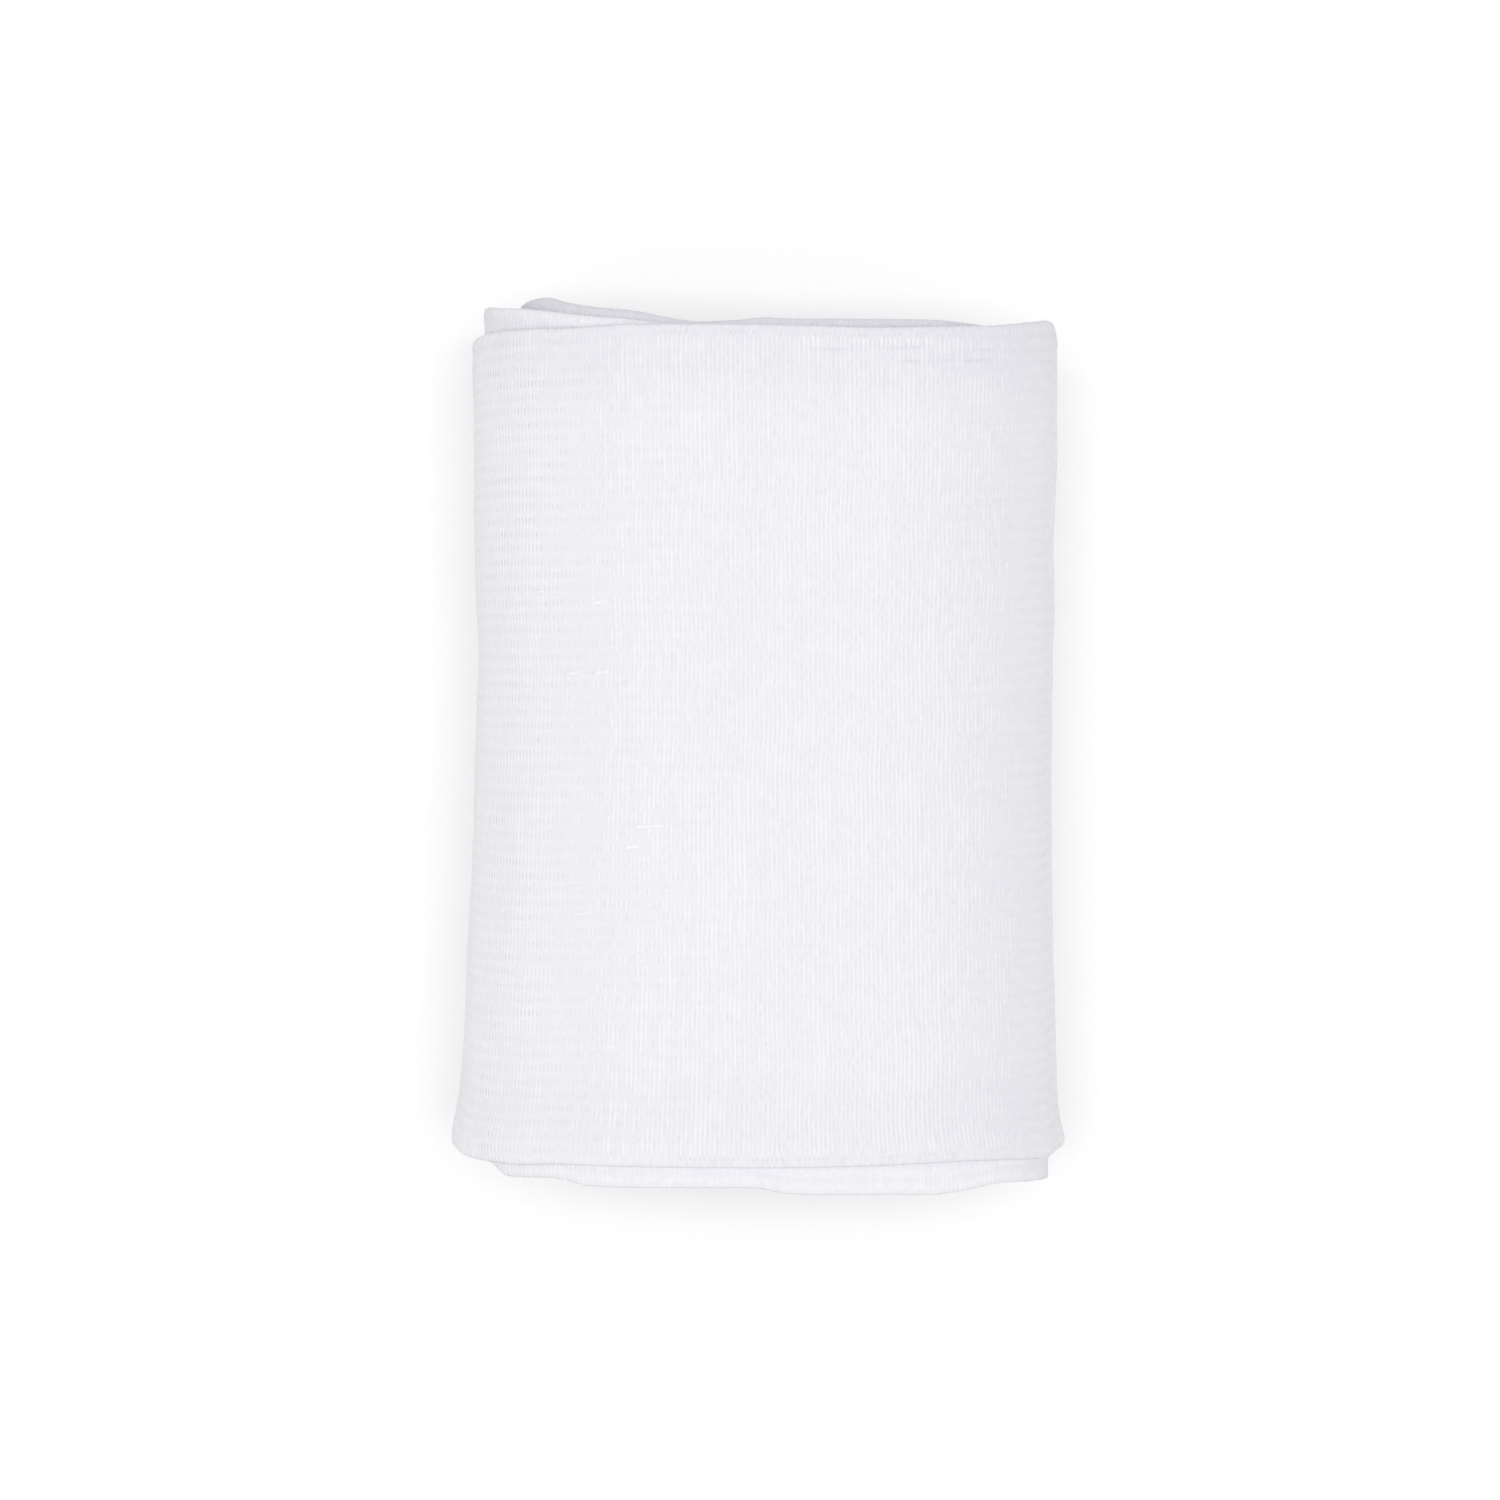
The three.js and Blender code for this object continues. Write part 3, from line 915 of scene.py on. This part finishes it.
def make_edge_loops(name, at_top, seed):
    """The slanted loops of yarn that close one long edge of the strip."""
    chance = np.random.default_rng(seed)
    length, turn, across, layer = loop_places(chance, at_top)
    lift = EDGE_LOOP[:, 3] if at_top else EDGE_LOOP[:, 3] - BOTTOM_LOOP_DEPTH
    path = cloth_point(turn, across, layer, np.broadcast_to(lift, turn.shape))
    strip_way = cloth_point(turn + TURN_STEP, across, layer) - cloth_point(turn - TURN_STEP, across, layer)
    tangent = unit(np.gradient(path, axis=1))
    second = unit(np.cross(tangent, strip_way))
    first = np.cross(second, tangent)
    radius = LOOP_RADIUS * chance.uniform(*LOOP_SIZES, (len(path), 1, 1))
    angles = 2 * math.pi * np.arange(LOOP_SIDES) / LOOP_SIDES
    rounds = [path + radius * (math.cos(angle) * first + math.sin(angle) * second) for angle in angles]
    points = np.stack(rounds, axis=2).reshape(-1, 3)
    points[:, 2] = np.maximum(points[:, 2], 0)
    places = np.stack([length, across + 0 * length, layer], axis=-1)
    places = np.repeat(places[:, :, None, :], LOOP_SIDES, axis=2).reshape(-1, 3)
    return make_mesh(name, points, tube_faces(len(path), len(EDGE_LOOP), LOOP_SIDES), places)


class Shader:
    """Short ways to build one material's nodes."""

    def __init__(self, name):
        self.material = bpy.data.materials.new(name)
        self.material.use_nodes = True
        self.tree = self.material.node_tree
        self.surface = self.tree.nodes["Principled BSDF"]
        self.surface.inputs["Roughness"].default_value = ROUGHNESS
        self.surface.inputs["Specular IOR Level"].default_value = SHINE

    def plug(self, socket, value):
        """Links a socket to another node's output, or sets it."""
        if isinstance(value, bpy.types.NodeSocket):
            self.tree.links.new(value, socket)
        else:
            socket.default_value = value

    def math(self, operation, *values):
        node = self.tree.nodes.new("ShaderNodeMath")
        node.operation = operation
        for socket, value in zip(node.inputs, values):
            self.plug(socket, value)
        return node.outputs[0]

    def joined(self, operation, values):
        total = values[0]
        for value in values[1:]:
            total = self.math(operation, total, value)
        return total

    def sum(self, *values):
        return self.joined("ADD", values)

    def product(self, *values):
        return self.joined("MULTIPLY", values)

    def remap(self, value, low, high, to_low=0.0, to_high=1.0):
        """A soft step from to_low to to_high while the value goes from low to high."""
        node = self.tree.nodes.new("ShaderNodeMapRange")
        node.interpolation_type = "SMOOTHSTEP"
        for socket, given in zip(node.inputs, (value, low, high, to_low, to_high)):
            self.plug(socket, given)
        return node.outputs["Result"]

    def vector(self, x, y, z=0.0):
        node = self.tree.nodes.new("ShaderNodeCombineXYZ")
        for socket, value in zip(node.inputs, (x, y, z)):
            self.plug(socket, value)
        return node.outputs[0]

    def step(self, length, from_turn, to_turn):
        """A soft step from 0 to 1 between two places along the strip."""
        return self.remap(length, length_at(from_turn), length_at(to_turn))

    def end_shade(self, length, across):
        """The outer turn is a little darker at both ends."""
        most_top, top_from, top_to = TOP_END
        most_bottom, bottom_from, bottom_to = BOTTOM_END
        top = self.remap(across, top_from, top_to, 0.0, most_top)
        bottom = self.remap(across, bottom_from, bottom_to, 0.0, most_bottom)
        bottom = self.product(bottom, self.remap(across, *BOTTOM_END_FADE))
        return self.product(self.sum(top, bottom), self.step(length, *OUTER_TURN_STEP))

    def place_shade(self, length, across):
        """Painted shade towards the roll's sides and on the inner turns, painted light at its far left, and
        the outer turn's darker ends.
        """
        total = self.end_shade(length, across)
        for shade, start, end in STRETCH_PAINTED_SHADING:
            stretch = self.product(self.step(length, *start), shade)
            if end:
                stretch = self.product(stretch, self.step(length, *end))
            total = self.sum(total, stretch)
        return total

    def noise(self, x, y, rates, detail=2.0):
        """Soft noise about 0, from about -0.5 to 0.5, that changes at these rates."""
        node = self.tree.nodes.new("ShaderNodeTexNoise")
        self.plug(node.inputs["Vector"], self.vector(self.product(x, rates[0]), self.product(y, rates[1])))
        node.inputs["Scale"].default_value = 1.0
        node.inputs["Detail"].default_value = detail
        return self.math("SUBTRACT", node.outputs["Fac"], 0.5)

    def chance(self, x, y):
        """An even chance value from 0 to 1 for each whole place."""
        node = self.tree.nodes.new("ShaderNodeTexWhiteNoise")
        node.noise_dimensions = "2D"
        self.plug(node.inputs["Vector"], self.vector(self.math("FLOOR", x), self.math("FLOOR", y)))
        return node.outputs["Value"]

    def mix(self, share, first, second):
        node = self.tree.nodes.new("ShaderNodeMix")
        node.data_type = "RGBA"
        self.plug(node.inputs[0], self.math("MINIMUM", self.math("MAXIMUM", share, 0.0), 1.0))
        self.plug(node.inputs[6], first)
        self.plug(node.inputs[7], second)
        return node.outputs[2]

    def tint(self, shade):
        """The surface's colour: the brightest yarn at a shade of -0.25, and the shaded gap's colour at 1."""
        share = self.math("MULTIPLY_ADD", shade, SHADE_SHARE, BRIGHT_SHARE)
        self.plug(self.surface.inputs["Base Color"], self.mix(share, BRIGHT_YARN, SHADED_GAP))

    def bump(self, height, distance):
        node = self.tree.nodes.new("ShaderNodeBump")
        node.inputs["Distance"].default_value = distance * MM
        self.plug(node.inputs["Height"], height)
        self.plug(self.surface.inputs["Normal"], node.outputs[0])

    def kept_value(self, key, output="Fac"):
        """What the mesh keeps under a name at each point."""
        node = self.tree.nodes.new("ShaderNodeAttribute")
        node.attribute_name = key
        return node.outputs[output]

    def strip_place(self):
        """The length along the strip, the width across it, both in millimetres, and the layer."""
        parts = self.tree.nodes.new("ShaderNodeSeparateXYZ")
        self.tree.links.new(self.kept_value("strip_place", "Vector"), parts.inputs[0])
        return parts.outputs


def painted_crease_lines(s, length, across):
    """Painted shade in fine lines along the creases beside the outer turn's top edge, from 0 to 1."""
    total = 0.0
    for start, end, place in CREASE_LINES:
        starting = s.step(length, start, start + CREASE_START_FADE)
        run = s.product(starting, s.step(length, end, end - CREASE_END_FADE))
        wander = s.product(s.noise(length, place, LINE_WANDER_RATES), LINE_WANDER)
        from_line = s.math("ABSOLUTE", s.sum(across, wander, -place))
        broken = s.remap(s.noise(length, place, LINE_BREAK_RATES), *LINE_BREAKS)
        line = s.remap(from_line, *LINE_EDGE, 1.0, 0.0)
        total = s.sum(total, s.product(run, broken, line))
    return total


def raised_area(s, length, layer):
    """Where raised ribs lie on the strip: 1 there, and 0 elsewhere."""
    at_left = s.step(length, SLITS_TO, RIBS_FROM)
    at_right = s.step(length, RIBS_TO, RIBS_TO - RAISED_END_FADE)
    return s.product(at_left, at_right, s.math("LESS_THAN", layer, OUTER_FACE_END))


def painted_shade_between_ribs(s, length, across, raised):
    """Painted shade on the ground between the raised ribs, deeper in some gaps."""
    from_first_rib = s.math("SUBTRACT", length, length_at(SLITS_TO))
    depth = s.remap(s.noise(from_first_rib, across, GAP_RATES, GAP_DETAIL), *GAP_DEPTHS)
    most = s.math("MULTIPLY_ADD", s.step(length, *DEEP_GAPS), GAP_PAINTED_SHADE_RIGHT, GAP_PAINTED_SHADE)
    gap = s.product(s.kept_value("rib_show"), depth, most)
    return s.product(raised, s.sum(gap, BETWEEN_RIBS_PAINTED_SHADE))


def slits(s, length, across, rib_wave, row_band):
    """Painted shade in fine slits between the painted ribs on the left, from 0 to about 1."""
    patches = s.remap(s.noise(length, across, PATCH_RATES), *SLIT_PATCHES)
    more_at_top = s.remap(across, *SLIT_GROWTH)
    at_left = s.step(length, RIBS_FROM, SLITS_TO)
    valleys = s.remap(rib_wave, *SLIT_VALLEYS)
    return s.product(valleys, row_band, patches, more_at_top, at_left)


def row_painted_shade(s, length, row_wave):
    """Painted shade in the rows' valleys, on the left and on the far right."""
    bands = [s.product(s.step(length, *where), shade) for shade, where in ROW_PAINTED_SHADES]
    return s.product(row_wave, s.sum(*bands))


def hem_painted_shade(s, across):
    """Painted shade in a narrow band just inside the top edge, under its loops."""
    hem = s.remap(s.math("PINGPONG", across, STRIP_WIDTH / 2), *HEM_STEP, HEM_PAINTED_SHADE, 0.0)
    return s.product(hem, s.math("GREATER_THAN", across, STRIP_WIDTH / 2))


def knit_material():
    """The strip's ground with its pattern, painted shade between the ribs, in slits, creases and rows'
    valleys and towards the roll's sides, and ribs painted on where none are raised.
    """
    s = Shader("knit")
    length, across, layer = s.strip_place()
    raised = raised_area(s, length, layer)
    painted = s.math("SUBTRACT", 1.0, raised)
    drift = s.noise(length, across, DRIFT_RATES)
    rib_place = s.product(s.sum(length, s.product(drift, RIB_DRIFT)), 1 / RIB_PITCH)
    chance = s.chance(rib_place, s.sum(s.product(across, 1 / ROW_PITCH), 0.5))
    rib_wave = s.math("COSINE", s.product(rib_place, 2 * math.pi))
    row_wave = s.math("COSINE", s.product(across, 2 * math.pi / ROW_PITCH))
    row_band = s.remap(row_wave, *ROW_BAND)
    rib = s.product(rib_wave, painted, s.math("MULTIPLY_ADD", chance, *STITCH_SHARES))
    rib = s.product(rib, s.math("MULTIPLY_ADD", row_band, *ROW_SHARES))
    grain = s.noise(length, across, GRAIN_RATES)
    shade = s.sum(
        GROUND_SHADE,
        painted_shade_between_ribs(s, length, across, raised),
        s.product(rib, PAINTED_RIB_SHADE),
        s.product(painted, s.math("SUBTRACT", chance, 0.5), STITCH_SHADE),
        s.product(grain, GRAIN_SHADE),
        row_painted_shade(s, length, row_wave),
        s.product(slits(s, length, across, rib_wave, row_band), chance, SLIT_PAINTED_SHADE),
        s.product(s.noise(length, across, BLOTCH_RATES), s.step(length, *BLOTCHES), BLOTCH_SHADE),
        hem_painted_shade(s, across),
        s.product(painted_crease_lines(s, length, across), CREASE_PAINTED_SHADE),
        s.product(s.kept_value("covered"), COVERED_SHADE),
        s.place_shade(length, across),
    )
    s.tint(shade)
    s.bump(s.sum(rib, grain), GRAIN_BUMP)
    return s.material


def yarn_shade(s, length, across, shade):
    """Gives yarn its fibres, over a shade, and the painted light and shade of its place on the strip."""
    fibre = s.noise(length, across, FIBRE_RATES)
    s.tint(s.sum(shade, s.product(fibre, FIBRE_SHADE), s.place_shade(length, across)))
    s.bump(fibre, FIBRE_BUMP)
    return s.material


def rib_material():
    """Yarn of the raised ribs, brighter where a stroke stands out, with the creases' painted shade."""
    s = Shader("rib yarn")
    length, across, _ = s.strip_place()
    stroke = s.product(s.kept_value("stroke"), STROKE_SHADE)
    crease = s.product(painted_crease_lines(s, length, across), CREASE_PAINTED_SHADE)
    at_sides = s.sum(*[s.step(length, *side) for side in SIDE_RIBS])
    shade = s.sum(RIB_SHADE, stroke, crease, s.product(at_sides, SIDE_RIB_SHADE))
    return yarn_shade(s, length, across, shade)


def edge_material(name, shade):
    """Plain yarn of the edge loops and of the floats, whose single stitches differ a little."""
    s = Shader(name)
    length, across, _ = s.strip_place()
    chance = s.chance(s.product(length, 1 / LOOP_PITCH), s.product(across, 1 / STRIP_WIDTH))
    shade = s.math("MULTIPLY_ADD", chance, EDGE_STITCH_RANGE, shade - EDGE_STITCH_RANGE / 2)
    return yarn_shade(s, length, across, shade)


def make_floor():
    """A plain pale table top."""
    half = TABLE_HALF_WIDTH
    corners = [(-half, -half, 0), (half, -half, 0), (half, half, 0), (-half, half, 0)]
    mesh = bpy.data.meshes.new("floor")
    mesh.from_pydata(corners, [], [(0, 1, 2, 3)])
    floor = bpy.data.objects.new("floor", mesh)
    bpy.context.collection.objects.link(floor)
    shader = Shader("table top")
    shader.surface.inputs["Base Color"].default_value = TABLE_TOP
    shader.surface.inputs["Emission Color"].default_value = WHITE
    shader.surface.inputs["Emission Strength"].default_value = TABLE_GLOW
    floor.data.materials.append(shader.material)
    return floor


def make_light():
    """A bright, even room, and a wide soft lamp overhead."""
    world = bpy.data.worlds.new("room")
    world.use_nodes = True
    background = world.node_tree.nodes["Background"]
    background.inputs["Color"].default_value = WHITE
    background.inputs["Strength"].default_value = ROOM_BRIGHTNESS
    bpy.context.scene.world = world
    lamp = bpy.data.lights.new("key", "AREA")
    lamp.shape = "RECTANGLE"
    lamp.size = LAMP_WIDTH
    lamp.size_y = LAMP_DEPTH
    lamp.energy = LAMP_POWER
    key = bpy.data.objects.new("key", lamp)
    key.location = LAMP_PLACE
    bpy.context.collection.objects.link(key)


def make_camera():
    """Straight above the roll, with the roll's axis up the picture."""
    data = bpy.data.cameras.new("camera")
    data.sensor_width = SENSOR_WIDTH
    data.lens = CAMERA_LENS
    camera = bpy.data.objects.new("camera", data)
    camera.location = CAMERA_PLACE
    bpy.context.collection.objects.link(camera)
    bpy.context.scene.camera = camera


def build():
    """The strip with its yarns, on the table, in the light and before the camera."""
    floor = make_floor()
    strip = make_strip()
    ribs = make_ribs()
    top_loops = make_edge_loops("top_edge_loops", True, TOP_LOOP_SEED)
    bottom_loops = make_edge_loops("bottom_edge_loops", False, BOTTOM_LOOP_SEED)
    floats = make_floats()
    strip.data.materials.append(knit_material())
    ribs.data.materials.append(rib_material())
    top_loops.data.materials.append(edge_material("top edge yarn", TOP_EDGE_SHADE))
    # The bottom edge's loops get painted light against the shade along that edge
    bottom_loops.data.materials.append(edge_material("bottom edge yarn", BOTTOM_EDGE_PAINTED_LIGHT))
    # The floats' yarn is painted brighter, a painted highlight
    floats.data.materials.append(edge_material("float yarn", FLOAT_PAINTED_HIGHLIGHT))
    details = [ribs, top_loops, bottom_loops, floats]
    for piece in [strip, *details]:
        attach(piece, "root")
    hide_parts("bandage_roll")
    make_light()
    make_camera()
    bpy.context.scene.view_settings.view_transform = "Standard"


build()
